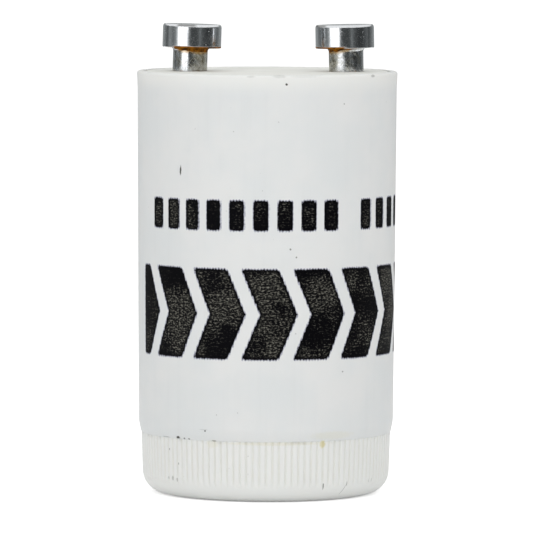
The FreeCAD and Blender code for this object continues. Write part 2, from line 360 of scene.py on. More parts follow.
@dataclass(frozen=True)
class PrintedPlastic(Finish):
    """White moulded plastic with two rubbed rows of plain marks, grime, stains and specks, painted shade
    under the lip, and painted light below the lip and below the rim.
    """

    name: str = "white_can_plastic"
    white: Colour = linear(231, 232, 231)
    shade: Colour = linear(226, 229, 229)
    streak: Colour = linear(222, 224, 224)
    # Painted light: a lighter colour laid over everything below the lip and over the stretch just below the
    # rim.
    worn_and_lit: Colour = linear(237, 238, 235)
    groove: Colour = linear(230, 230, 225)
    ink: Colour = linear(3, 3, 6)
    fringe: Colour = linear(44, 48, 118)
    film: Colour = linear(182, 179, 162)
    # Besides grime, marks and dust, this colour also paints the shade in the groove tops just under the lip.
    grime: Colour = linear(58, 56, 50)
    stain: Colour = linear(214, 202, 134)
    radius: float = 10.6
    lip_height: float = 5.05
    rim_height: float = 34.8
    band_radius: float = 10.29
    band_slope: float = 0.034
    groove_depth: float = 0.12
    skin: float = 0.9  # mm inside the widest wall that still count as outside
    lit_below_rim: tuple[float, float] = (1.9, 0.3)  # mm below the rim, where the painted light starts and is full
    # Painted shade: mm below the lip where the dark band in the groove tops starts and is full.
    shade_below_lip: tuple[float, float] = (0.35, 0.05)
    grime_below_rim: tuple[float, float] = (0.1, 0.02)
    film_above_end: tuple[float, float] = (1.0, 2.2)  # mm up, past the grooves' run-out
    row_start: float = -12.9  # mm round the wall from the front, to the right
    row_end: float = 27.0
    arrow_pitch: float = 4.25
    arrow_width: float = 3.1
    arrow_slope: float = 0.42  # mm that an arrow's arm falls back in 1 mm of height
    arrow_shift: float = 1.1  # mm to the left
    block_pitch: float = 1.98
    block_width: float = 1.3
    blocks: int = 9  # in one group
    group_start: float = -11.03
    group_pitch: float = 19.51
    corner: float = 0.5  # rounding of the marks' corners, in mm
    comb: float = 25.0  # radians per mm of the fine comb along the edges of the print
    marks: tuple[Mark, ...] = ()
    stains: tuple[Mark, ...] = ()

    def paint(self, graph: Graph) -> None:
        """Fills the node tree.

        Args:
            graph: The tree of the new material.
        """
        place = graph.place()
        x, y, z = graph.split(place)
        away = graph.away(x, y)
        across = graph.turn(x, y) * self.radius
        wall = graph.combine(across, z)
        outside = graph.ease(away, self.radius - self.skin - 0.05, self.radius - self.skin)

        cloud = graph.noise(place, 0.18, 3.0, 0.6)
        patches = graph.noise(place, 1.1, 3.0, 0.6)
        drawn = graph.noise(graph.combine(across * 1.6, z * 0.05, away * 0.3), 1.0, 3.0, 0.65)
        streaks = graph.ease(drawn, 0.45, 0.75) * graph.ease(cloud, 0.35, 0.6) * outside * 0.4
        # Painted light: everything below the lip, and the stretch below the rim, are made lighter.
        painted_light = graph.ease(z, self.lip_height + 0.02, self.lip_height - 0.1) * 0.8
        painted_light = painted_light | graph.ease(z, *(self.rim_height - below for below in self.lit_below_rim))
        base = graph.blend(graph.ease(cloud, 0.3, 0.7), self.white, self.shade)
        base = graph.blend(streaks, base, self.streak)
        base = graph.blend(painted_light, base, self.worn_and_lit)
        base = graph.blend(self.in_grooves(graph, away, z, patches) * outside, base, self.groove)
        base = graph.blend(self.spots(graph, place, wall, self.stains) * outside, base, self.stain)
        # Painted shade under the lip, faint grime at the rim, and the single marks.
        darkening = self.darkening(graph, patches, z) | self.spots(graph, place, wall, self.marks)
        base = graph.blend((darkening | self.dust(graph, place)) * outside, base, self.grime)
        cover, rim, film = self.print(graph, place, across, z)
        base = graph.blend(rim * outside, base, self.fringe)
        base = graph.blend(film * outside, base, self.film)
        base = graph.blend(cover * outside, base, self.ink)

        grain = graph.noise(place, 5.0, 2.0, 0.6)
        scuffs = graph.noise(graph.vector("MULTIPLY", wall, (3.2, 0.35, 1.0)), 1.0, 4.0, 0.7)
        graph.surface(
            Base_Color=base,
            Roughness=0.38 + 0.12 * cloud + 0.1 * graph.ease(scuffs, 0.55, 0.75) + 0.14 * cover,
            Normal=graph.bump(0.6 * grain + 0.4 * patches, 0.006),
            IOR=1.49,
            Specular_IOR_Level=0.05,
            Subsurface_Weight=0.15,
            Subsurface_Scale=0.0006,
            Subsurface_Radius=(1.0, 0.9, 0.8),
        )

    def print(self, graph: Graph, place: Value, across: Value, z: Value) -> tuple[Value, Value, Value]:
        """The two printed rows: a band of arrowheads and a band of short blocks.

        Args:
            graph: The material's tree.
            place: The point, in mm.
            across: Its distance round the wall from the front, in mm.
            z: Its height, in mm.

        Returns:
            How much ink covers the point, how much of the ink's thin blue edge, and how much of the
            warm film that is left where the ink has rubbed through.
        """

        def both(first: Value, second: Operand) -> Value:
            """The smaller of two depths inside a shape, with a rounded corner between them."""
            return graph.math("SMOOTH_MIN", first, second, self.corner)

        height, half = Row.LARGE.value
        rise = abs(z - height)
        slanted = (across + rise * self.arrow_slope + self.arrow_shift) % self.arrow_pitch
        stroke = self.arrow_width / 2 - abs(slanted - self.arrow_pitch / 2)
        large = both(both(stroke, half - rise), across - self.row_start) & (self.row_end - across)
        height, half = Row.SMALL.value
        word = (across - self.group_start) % self.group_pitch
        step = word % self.block_pitch
        stroke = self.block_width / 2 - abs(step - self.block_width / 2)
        last = (self.blocks - 0.2) * self.block_pitch - word
        small = both(stroke, half - abs(z - height)) & last
        small = small & (across - self.group_start) & (self.row_end - across)
        ragged = (graph.noise(place, 5.2, 2.0, 0.7) - 0.5) * 0.2
        inside = (large | small) + (ragged + graph.math("SINE", across * self.comb) * 0.03)
        worn_and_lit = graph.ease(graph.noise(place, 0.24, 2.0, 0.6), 0.36, 0.62)
        grain = graph.noise(graph.combine(across * 4.6, z * 7.4), 1.0, 2.0, 0.7)
        layers = graph.noise(graph.combine(across * 0.5, z * 5.0), 1.0, 2.0, 0.6)
        holes = graph.ease(grain + 0.35 * (layers - 0.5) + 0.16 * (worn_and_lit - 0.5), 0.5, 0.64)
        showing = holes * graph.ease(inside, 0.1, 0.4) * (0.06 + 0.33 * worn_and_lit * graph.ease(grain, 0.5, 0.7))
        cover = graph.ease(inside, -0.01, 0.06) * (1.0 - showing)
        rim = graph.ease(inside, -0.09, 0.0) * graph.ease(inside, 0.14, 0.04) * 0.5
        return cover, rim, graph.ease(inside, 0.02, 0.12) * 0.85

    def in_grooves(self, graph: Graph, away: Value, z: Value, patches: Value) -> Value:
        """How deep a point lies in the grooves of the grip band, where a warm film has settled.

        Args:
            graph: The material's tree.
            away: Distance of the point from the axis, in mm.
            z: Its height, in mm.
            patches: Uneven noise about 0.5.

        Returns:
            The film's strength.
        """
        crest = self.band_radius - self.band_slope * (self.lip_height - z)
        depth = graph.ease(crest - away, 0.0, self.groove_depth * 0.6)
        below_lip = graph.ease(z, self.lip_height + 0.02, self.lip_height)
        straight = graph.ease(z, *self.film_above_end) & below_lip
        return depth * straight * (0.55 + 0.45 * graph.ease(patches, 0.3, 0.6))

    def darkening(self, graph: Graph, patches: Value, z: Value) -> Value:
        """Painted shade in the tops of the grooves just below the lip, and faint grime at the rim.

        Args:
            graph: The material's tree.
            patches: Uneven noise about 0.5.
            z: Height of the point, in mm.

        Returns:
            How much painted shade and grime darken the point.
        """
        # Painted shade: a patchy dark band in the groove tops just under the lip.
        below_lip = graph.ease(z, *(self.lip_height - below for below in self.shade_below_lip))
        below_lip = below_lip & graph.ease(z, self.lip_height + 0.06, self.lip_height)
        at_rim = graph.ease(z, *(self.rim_height - below for below in self.grime_below_rim))
        below_lip = below_lip * graph.ease(patches, 0.45, 0.8) * 0.3
        return below_lip + at_rim * graph.ease(patches, 0.5, 0.75) * 0.1

    @staticmethod
    def dust(graph: Graph, place: Value) -> Value:
        """Sparse fine specks all over the plastic."""
        return graph.ease(graph.noise(place, 2.3, 1.0, 0.5), 0.79, 0.83) * 0.3

    @staticmethod
    def spots(graph: Graph, place: Value, wall: Value, marks: Sequence[Mark]) -> Value:
        """The single marks, each at its own place, with uneven edges.

        Args:
            graph: The material's tree.
            place: The point, in mm.
            wall: The point on the unrolled wall, in mm.
            marks: The marks.

        Returns:
            How much a mark covers the point.
        """
        uneven = (graph.noise(place, 7.0, 2.0, 0.6) - 0.5) * 0.9
        total = None
        for mark in marks:
            middle = (mark.across, mark.height, 0.0)
            turn = (0.0, 0.0, math.radians(-mark.lean))
            within = graph.leaning(wall, middle, turn, (mark.width / 2, mark.length / 2, 1.0))
            away = graph.vector("LENGTH", within) + uneven
            spot = graph.ease(away, 1.25, 0.55) * mark.strength
            total = spot if total is None else total | spot
        return total


@dataclass(frozen=True)
class DiscPlastic(Finish):
    """Warm white insulating plastic with grime in the seat round each pin and round the edge."""

    name: str = "white_disc_plastic"
    white: Colour = linear(245, 246, 241)
    shade: Colour = linear(239, 240, 234)
    grime: Colour = linear(132, 120, 96)
    pin_feet: tuple[tuple[float, float], ...] = ()
    pin_radius: float = 1.43
    edge_radius: float = 10.1

    def paint(self, graph: Graph) -> None:
        """Fills the node tree.

        Args:
            graph: The tree of the new material.
        """
        place = graph.place()
        x, y, _ = graph.split(place)
        cloud = graph.noise(place, 0.35, 3.0, 0.6)
        patches = graph.noise(place, 1.6, 3.0, 0.65)
        darkening = graph.ease(graph.away(x, y), self.edge_radius - 0.3, self.edge_radius) * 0.35
        for foot_x, foot_y in self.pin_feet:
            away = graph.vector("DISTANCE", graph.combine(x, y), (foot_x, foot_y, 0.0))
            darkening = darkening | graph.ease(away, self.pin_radius + 0.45, self.pin_radius)
        darkening = darkening * graph.ease(patches, 0.3, 0.7) * 0.7
        swirl = graph.noise(graph.vector("MULTIPLY", place, (0.5, 3.5, 1.0)), 1.0, 3.0, 0.7)
        base = graph.blend(graph.ease(cloud, 0.3, 0.7), self.white, self.shade)
        base = graph.blend(darkening, base, self.grime)
        graph.surface(
            Base_Color=base,
            Roughness=0.55 + 0.16 * swirl,
            Normal=graph.bump(0.5 * patches + 0.5 * swirl, 0.006),
            IOR=1.5,
            Specular_IOR_Level=0.12,
        )


@dataclass(frozen=True)
class PinLook:
    """What sets one pin apart from the other. Angles are degrees round it from the front, to the right."""

    head_shift: float  # mm that the head stands off the neck's axis, to the right
    neck_dented: float  # share of the dents' full depth on the neck
    rust_middle: float
    rust_drop: float  # mm down the neck
    stain_middle: float  # of the stain that has run down the neck
    crown_shade_middle: float  # of the painted shade on the head's rim


PIN_LOOKS = {
    "left": PinLook(0.10, 0.25, 36.0, 0.34, 50.0, -9.0),
    "right": PinLook(-0.085, 1.1, -74.0, 0.29, -78.0, -62.0),
}


@dataclass(frozen=True)
class PlatedMetal(Finish):
    """Bright plating on a turned pin, with crossed scratches, a dented neck, rust under the head, and painted
    shade on the head's rim.
    """

    name: str = "plated_pin"
    bright: Colour = linear(233, 235, 237)
    dull: Colour = linear(204, 207, 211)
    tarnish: Colour = linear(170, 163, 138)
    run_off: Colour = linear(124, 119, 100)
    # Painted shade: darker plating laid on one stretch of the head's rim.
    crown_shade: Colour = linear(128, 128, 126)
    rust_bloom: Colour = linear(178, 142, 84)
    rust_light: Colour = linear(150, 92, 6)
    rust_dark: Colour = linear(58, 33, 1)
    foot: tuple[float, float, float] = (0.0, 0.0, 0.0)
    lean: float = 0.0
    neck_length: float = 1.93
    head_length: float = 1.93
    head_radius: float = 2.42
    dent_depth: float = 0.02  # mm
    top_depth: float = 0.09  # mm below the crown that still count as the head's top
    knocked_below: tuple[float, float] = (0.42, 0.2)  # mm below the crown, where the dents start and are full
    crown_shade_below: tuple[float, float] = (0.2, 0.12)
    crown_shade_within: tuple[float, float] = (0.42, 0.26)  # mm in from the head's wall
    crown_shade_reach: float = 24.0  # degrees to each side of the middle, as the next two
    stain_reach: float = 56.0
    rust_reach: float = 115.0
    look: PinLook = field(kw_only=True)

    def paint(self, graph: Graph) -> None:
        """Fills the node tree.

        Args:
            graph: The tree of the new material.
        """
        look = self.look
        place = graph.leaning(graph.place(), self.foot, (0.0, self.lean, 0.0))
        x, y, z = graph.split(place)
        angle = graph.turn(x, y) * (180 / math.pi)
        away = graph.away(x, y)
        patches = graph.noise(place, 1.7, 4.0, 0.65)
        fine = graph.noise(place, 7.0, 3.0, 0.7)
        crown = self.neck_length + self.head_length
        on_top = graph.ease(z, crown - self.top_depth - 0.08, crown - self.top_depth)
        on_side = 1.0 - on_top
        on_neck = graph.ease(z, self.neck_length, self.neck_length - 0.2)

        rings = graph.noise(graph.combine(away * 4.0, 0.0), 1.0, 3.0, 0.75)
        streaks = graph.noise(graph.combine(angle * 0.16, z * 0.3), 1.0, 3.0, 0.75)
        streaks = streaks * on_side + rings * on_top
        scratches = self.scratches(graph, angle * 0.03 * on_side + x * on_top, z * on_side + y * on_top)
        scratches = scratches * (0.5 + 0.5 * on_neck)
        dents = graph.noise(graph.combine(angle * 0.045, z * 2.0), 1.0, 2.0, 0.5)
        knocked = graph.ease(z, *(crown - below for below in self.knocked_below)) * on_side * 0.8
        knocked = on_neck * look.neck_dented + knocked
        pits = graph.ease(graph.noise(place, 5.0, 1.0, 0.5), 0.7, 0.77) * 0.7

        stained = graph.ease(abs(angle - look.stain_middle), self.stain_reach, self.stain_reach * 0.4)
        stained = stained * on_neck * (0.65 + 0.5 * (patches - 0.5))
        # Painted shade: a darker stretch of the head's rim, round the middle that each pin's look gives.
        crown_shade = graph.ease(z, *(crown - below for below in self.crown_shade_below)) * 0.8
        crown_shade = crown_shade * graph.ease(away, *(self.head_radius - within for within in self.crown_shade_within))
        crown_shade = crown_shade * graph.ease(abs(angle - look.crown_shade_middle), self.crown_shade_reach, self.crown_shade_reach * 0.6)
        metal = graph.blend(graph.ease(streaks, 0.38, 0.68) | pits, self.bright, self.dull)
        metal = graph.blend(on_neck * graph.ease(patches, 0.45, 0.68) * 0.6, metal, self.tarnish)
        metal = graph.blend(stained, metal, self.run_off)
        metal = graph.blend(crown_shade, metal, self.crown_shade)

        side = graph.ease(abs(angle - look.rust_middle), self.rust_reach, self.rust_reach * 0.1)
        drop = look.rust_drop * (0.3 + 0.7 * side)
        metal = graph.blend(self.bloom(graph, side, drop, z, patches), metal, self.rust_bloom)
        rust = self.rust(graph, side, drop, z, graph.noise(place, 1.3, 1.0, 0.5), patches)
        crust = graph.ease(0.5 * fine + 1.6 * (patches - 0.5), 0.02, 0.5)
        relief = 0.25 * streaks + 0.32 * fine + 0.25 * scratches + 2.0 * rust * fine
        rough = 0.09 + 0.05 * graph.ease(streaks, 0.45, 0.7) + 0.05 * fine + 0.16 * scratches
        graph.surface(
            Base_Color=graph.blend(rust, metal, graph.blend(crust, self.rust_dark, self.rust_light)),
            Metallic=1.0 - 0.95 * rust,
            Roughness=rough + 0.5 * (rust | pits),
            Normal=graph.bump(dents * knocked, self.dent_depth, graph.bump(relief, 0.004)),
            Specular_IOR_Level=0.1,
        )

    @staticmethod
    def scratches(graph: Graph, round_pin: Value, z: Value) -> Value:
        """Fine scratches that cross each other at a slant, as handling leaves them.

        Args:
            graph: The material's tree.
            round_pin: Distance round the pin, in mm.
            z: Height along the pin, in mm.

        Returns:
            How deep the scratches are, from 0 to 1.
        """
        total = None
        for along, over, shift in ((0.8, 0.6, 0.0), (-0.75, 0.66, 9.0), (0.1, 0.995, 21.0)):
            first = (round_pin * over + z * along) * 2.4
            second = (z * over - round_pin * along) * 0.4
            line = graph.noise(graph.combine(first, second, shift), 1.0, 1.0, 0.5)
            cut = graph.ease(abs(line - 0.5), 0.03, 0.0)
            total = cut if total is None else total | cut
        return total

    def bloom(self, graph: Graph, side: Value, drop: Value, z: Value, patches: Value) -> Value:
        """The thin tan film that the rust has spread just below it.

        Args:
            graph: The material's tree.
            side: 1 at the rust's middle and 0 where it ends round the pin.
            drop: How far down the neck the rust hangs, in mm.
            z: Height above the disc along the pin, in mm.
            patches: Uneven noise about 0.5.

        Returns:
            How much film covers the point.
        """
        below = graph.ease(z - (self.neck_length - drop), -0.3, 0.0)
        below = below & graph.ease(z, self.neck_length + 0.02, self.neck_length)
        return below * graph.ease(side, 0.05, 0.4) * (0.8 + 0.8 * (patches - 0.5))

    def rust(self, graph: Graph, side: Value, drop: Value, z: Value, waves: Value, patches: Value) -> Value:
        """Rust that hangs from the underside of the head, and a little where the neck meets the disc.

        Args:
            graph: The material's tree.
            side: 1 at the rust's middle and 0 where it ends round the pin.
            drop: How far down the neck it hangs, in mm, but for its uneven edge.
            z: Height above the disc along the pin, in mm.
            waves: Smooth noise about 0.5.
            patches: Uneven noise about 0.5.

        Returns:
            How much rust covers the point.
        """
        drop = drop + 0.28 * (waves - 0.5) + 0.14 * (patches - 0.5)
        hanging = graph.ease(z - self.neck_length + drop, -0.05, 0.04) & graph.ease(side, 0.01, 0.1)
        hanging = hanging & graph.ease(z, self.neck_length + 0.2, self.neck_length + 0.1)
        under_head = graph.ease(z, self.neck_length + 0.03, self.neck_length + 0.01)
        hanging = hanging & (under_head | graph.ease(side, 0.3, 0.45))
        at_foot = graph.ease(z, 0.14, 0.0) * graph.ease(patches, 0.45, 0.62) * 0.6
        return hanging | at_foot


@dataclass(frozen=True)
class PlainMetal(Finish):
    """Wire, solder, rod and strip metal: one colour that drifts, with fine drawn lines."""

    bright: Colour = linear(200, 200, 202)
    dull: Colour = linear(150, 150, 152)
    roughness: float = 0.3

    def paint(self, graph: Graph) -> None:
        """Fills the node tree.

        Args:
            graph: The tree of the new material.
        """
        place = graph.place()
        cloud = graph.noise(place, 1.3, 3.0, 0.6)
        lines = graph.noise(graph.vector("MULTIPLY", place, (6.0, 6.0, 0.6)), 1.0, 3.0, 0.7)
        graph.surface(
            Base_Color=graph.blend(graph.ease(cloud, 0.35, 0.65), self.bright, self.dull),
            Metallic=1.0,
            Roughness=self.roughness + 0.2 * lines,
            Normal=graph.bump(lines, 0.006),
        )


@dataclass(frozen=True)
class BulbGlass(Finish):
    """Clear glass with a grey bloom of sputtered metal."""

    name: str = "bulb_glass"
    clear: Colour = (0.93, 0.97, 0.96)
    bloom: Colour = (0.55, 0.57, 0.58)

    def paint(self, graph: Graph) -> None:
        """Fills the node tree.

        Args:
            graph: The tree of the new material.
        """
        place = graph.place()
        cloud = graph.noise(place, 0.5, 3.0, 0.6)
        graph.surface(
            Base_Color=graph.blend(graph.ease(cloud, 0.5, 0.8) * 0.4, self.clear, self.bloom),
            Roughness=0.02 + 0.08 * graph.ease(cloud, 0.5, 0.8),
            Transmission_Weight=1.0,
            IOR=1.5,
        )


@dataclass(frozen=True)
class DippedCoat(Finish):
    """Glossy brown-orange resin that a capacitor is dipped in, with an uneven skin."""

    name: str = "capacitor_coat"
    light: Colour = linear(186, 96, 44)
    dark: Colour = linear(142, 62, 26)

    def paint(self, graph: Graph) -> None:
        """Fills the node tree.

        Args:
            graph: The tree of the new material.
        """
        place = graph.place()
        skin = graph.noise(place, 0.6, 3.0, 0.55)
        graph.surface(
            Base_Color=graph.blend(graph.ease(skin, 0.3, 0.7), self.light, self.dark),
            Roughness=0.18 + 0.2 * graph.noise(place, 2.5, 3.0, 0.6),
            Normal=graph.bump(skin, 0.15),
        )


@dataclass(frozen=True)
class Corner:
    """A corner of a turned half section, in millimetres."""

    radius: float  # distance from the axis
    height: float
    rounding: float = 0.0
    steps: int = 5


def select_only(piece: bpy.types.Object) -> None:
    """Selects a piece and nothing else, and makes it the active one.

    Args:
        piece: The object.
    """
    bpy.ops.object.select_all(action="DESELECT")
    piece.select_set(True)
    bpy.context.view_layer.objects.active = piece


def start_edit(piece: bpy.types.Object) -> None:
    """Opens a piece alone in edit mode, with all its vertices selected.

    Args:
        piece: The mesh object.
    """
    if bpy.context.mode != "OBJECT":
        bpy.ops.object.mode_set(mode="OBJECT")
    select_only(piece)
    bpy.ops.object.mode_set(mode="EDIT")
    bpy.ops.mesh.select_mode(type="VERT")
    bpy.ops.mesh.select_all(action="SELECT")


def spin(steps: int, angle: float = 2 * math.pi, copies: bool = False) -> None:
    """Spins the mesh in edit mode about the Z axis. It leaves faces, or copies instead."""
    bpy.ops.mesh.select_all(action="SELECT")
    bpy.ops.mesh.spin(steps=steps, angle=angle, center=(0.0, 0.0, 0.0), axis=(0.0, 0.0, 1.0), dupli=copies)


def pick(piece: bpy.types.Object, wanted: Callable[[Vector], bool]) -> int:
    """Selects the vertices of a piece by their place, and no others.

    Args:
        piece: The mesh object, in edit mode.
        wanted: Says of a vertex's place whether it is selected.

    Returns:
        How many are selected.
    """
    bpy.ops.mesh.select_all(action="DESELECT")
    bpy.ops.object.mode_set(mode="OBJECT")
    count = 0
    for vertex in piece.data.vertices:
        vertex.select = wanted(vertex.co)
        count += vertex.select
    bpy.ops.object.mode_set(mode="EDIT")
    return count


def draw_section(name: str, corners: Sequence[Corner]) -> bpy.types.Object:
    """Draws a half section as a chain of edges in the X-Z plane, and rounds its corners.

    Args:
        name: The new object's name.
        corners: The section's corners, from one end to the other.

    Returns:
        The object, in edit mode, with the corners' own unit.
    """
    bpy.ops.object.select_all(action="DESELECT")
    first = corners[0]
    bpy.ops.mesh.primitive_plane_add(size=1.0, location=(0.0, 0.0, 0.0))
    piece = bpy.context.object
    piece.name = name
    piece.data.name = name
    start_edit(piece)
    bpy.ops.mesh.merge(type="CENTER")
    bpy.ops.transform.translate(value=(first.radius, 0.0, first.height))
    for before, after in zip(corners, corners[1:]):
        step = (after.radius - before.radius, 0.0, after.height - before.height)
        bpy.ops.mesh.extrude_vertices_move(TRANSFORM_OT_translate={"value": step})
    for before, corner, after in zip(corners, corners[1:], corners[2:]):
        if corner.rounding:
            here = Vector((corner.radius, 0.0, corner.height))
            back = Vector((before.radius, 0.0, before.height)) - here
            ahead = Vector((after.radius, 0.0, after.height)) - here
            setback = corner.rounding * math.tan((math.pi - back.angle(ahead)) / 2)
            pick(piece, lambda place: (place - here).length < NEAR)
            bpy.ops.mesh.bevel(
                affect="VERTICES", offset_type="OFFSET", offset=setback, segments=corner.steps, profile=0.5
            )
    return piece


def close_turned(piece: bpy.types.Object) -> None:
    """Merges the seams and poles of a turned piece and points its faces outwards.

    Args:
        piece: The mesh object.
    """
    start_edit(piece)
    bpy.ops.mesh.remove_doubles(threshold=NEAR)
    bpy.ops.mesh.normals_make_consistent(inside=False)
    bpy.ops.object.mode_set(mode="OBJECT")


def to_metres(piece: bpy.types.Object, place: Matrix | None = None, sharp: float = 32.0) -> None:
    """Puts a finished piece in place in metres, in its mesh, and shades it smooth between sharp edges.

    Args:
        piece: The object, modelled in millimetres.
        place: Where its own frame stands, in millimetres.
        sharp: The least angle of an edge that stays sharp, in degrees.
    """
    select_only(piece)
    piece.matrix_world = Matrix.Scale(MM, 4) @ (place or Matrix.Identity(4))
    bpy.ops.object.transform_apply(location=True, rotation=True, scale=True)
    bpy.ops.object.shade_smooth_by_angle(angle=math.radians(sharp))


@dataclass
class Can:
    """The moulded can: closed ribbed end, lip, tapered wall and flared mouth. Sizes are in mm."""

    height: float
    mouth_radius: float
    disc_bottom: float
    disc_top: float
    rim_rounding: float = 0.22
    flare: float = 0.07
    flare_height: float = 1.4
    wall_taper: float = 0.17
    lip_height: float = 5.05
    lip_step: float = 0.22
    lip_bevel: float = 0.18
    lip_bevel_height: float = 0.85
    band_taper: float = 0.11
    end_rounding: float = 1.80
    wall: float = 0.80
    end_wall: float = 1.20
    inner_rounding: float = 1.10
    ledge: float = 0.26
    bead_depth: float = 0.20
    bead_length: float = 0.74
    rib_count: int = 120
    rib_steps: int = 8  # columns of faces in one rib and groove
    groove_depth: float = 0.12
    root_share: float = 0.7
    flank_share: float = 0.48
    end_rings: tuple[float, ...] = (0.0, 4.0, 7.6)  # radii of the plain loops on the closed end
    floor_ring: float = 3.0  # radius of the one on the floor inside
    band_top: tuple[float, ...] = (0.45, 0.12)  # how far the band's upper loops lie below the lip
    band_foot: float = 0.4  # how far its lower one lies above the rounded edge
    half_taper: float = 0.55  # share of the height at which half the taper is reached
    lip_edge: float = 0.03  # roundings
    lip_blend: float = 1.6
    flare_blend: float = 3.0
    inner_edge: float = 0.06
    ledge_edge: float = 0.05
    piece: bpy.types.Object = field(init=False)

    @property
    def shaft_radius(self) -> float:
        """Outside of the wall, just below the flare."""
        return self.mouth_radius - self.flare

    @property
    def lip_radius(self) -> float:
        """Outside of the wall, just above the lip's bevel."""
        return self.shaft_radius - self.wall_taper

    @property
    def band_radius(self) -> float:
        """Crest of the ribs, just under the lip."""
        return self.lip_radius - self.lip_step

    @property
    def foot_radius(self) -> float:
        """Crest of the ribs, at the rounded edge."""
        return self.band_radius - self.band_taper

    def crest(self, height: float) -> float:
        """The crest's radius at a height, on the straight line down the grip band."""
        return self.foot_radius + self.band_taper * (height - self.end_rounding) / (
            self.lip_height - self.end_rounding
        )

    def corners(self) -> list[Corner]:
        """The half section of the can, from the middle of its outer end to the middle of its floor.

        Returns:
            The corners.
        """
        bore = self.shaft_radius - self.wall
        seat = bore + self.ledge
        middle = (self.disc_top + self.disc_bottom) / 2
        end_bore = self.foot_radius - self.wall
        heights = [self.end_rounding + self.band_foot, *(self.lip_height - below for below in self.band_top)]
        return [
            *(Corner(radius, 0.0) for radius in self.end_rings),
            Corner(self.crest(0.0), 0.0, self.end_rounding, 14),
            *(Corner(self.crest(height), height) for height in heights),
            Corner(self.band_radius, self.lip_height),
            Corner(self.lip_radius - self.lip_bevel, self.lip_height, self.lip_edge, 2),
            Corner(self.lip_radius, self.lip_height + self.lip_bevel_height, self.lip_blend, 5),
            Corner(self.lip_radius + self.wall_taper * 0.5, self.height * self.half_taper),
            Corner(self.shaft_radius, self.height - self.flare_height, self.flare_blend, 5),
            Corner(self.mouth_radius, self.height, self.rim_rounding, 6),
            Corner(seat, self.height, self.inner_edge, 3),
            Corner(seat, middle + self.bead_length / 2),
            Corner(seat + self.bead_depth, middle, self.inner_edge, 3),
            Corner(seat, middle - self.bead_length / 2),
            Corner(seat, self.disc_bottom),
            Corner(bore, self.disc_bottom, self.ledge_edge, 2),
            Corner(end_bore, self.end_wall, self.inner_rounding, 6),
            Corner(self.floor_ring, self.end_wall),
            Corner(0.0, self.end_wall),
        ]

    def press_grooves(self) -> None:
        """Presses half a groove into each side of the one rib sector, shallower as it runs out below."""
        pitch = 2 * math.pi / self.rib_count
        top = self.lip_height + 10 * NEAR
        heights = sorted({round(v.co.z, 5) for v in self.piece.data.vertices if v.co.z < top})
        shares = {0: self.root_share, 1: self.flank_share, self.rib_steps - 1: self.flank_share}
        shares[self.rib_steps] = self.root_share
        for height in heights:
            crest = self.crest(height)
            for column, share in shares.items():
                turn = column * pitch / self.rib_steps

                def on_column(place: Vector) -> bool:
                    """Whether a vertex is on this column and height of the band's outside.

                    Args:
                        place: The vertex's place.

                    Returns:
                        True if it is.
                    """
                    away = math.hypot(place.x, place.y)
                    near = abs(math.atan2(place.y, place.x) - turn) < pitch / self.rib_steps / 4
                    on_skin = crest - self.groove_depth < away < crest + 10 * NEAR
                    return abs(place.z - height) < NEAR and near and on_skin

                radii = [math.hypot(v.co.x, v.co.y) for v in self.piece.data.vertices if on_column(v.co)]
                if not radii:
                    continue
                radius = max(radii)
                goal = min(radius, crest - self.groove_depth * share)
                factor = goal / radius
                if factor < 1 and pick(self.piece, on_column):
                    bpy.ops.transform.resize(value=(factor, factor, 1.0), center_override=(0.0, 0.0, 0.0))

    def build(self) -> None:
        """Models one rib's sector, repeats it round the can and closes the mesh."""
        self.piece = draw_section("canister_shell", self.corners())
        pitch = 2 * math.pi / self.rib_count
        spin(self.rib_steps, pitch)
        bpy.ops.object.mode_set(mode="OBJECT")
        angles = [math.atan2(v.co.y, v.co.x) for v in self.piece.data.vertices]
        if min(angles) < -pitch / 2:
            start_edit(self.piece)
            bpy.ops.transform.mirror(constraint_axis=(False, True, False), center_override=(0.0, 0.0, 0.0))
        start_edit(self.piece)
        self.press_grooves()
        spin(self.rib_count, copies=True)
        close_turned(self.piece)
        to_metres(self.piece, sharp=38.0)

    def dress(self, finish: Finish) -> None:
        """Gives the can its finish and ties it to the frame.

        Args:
            finish: The can's finish.
        """
        finish.dress(self.piece)
        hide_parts("canister")
        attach(self.piece, "root")


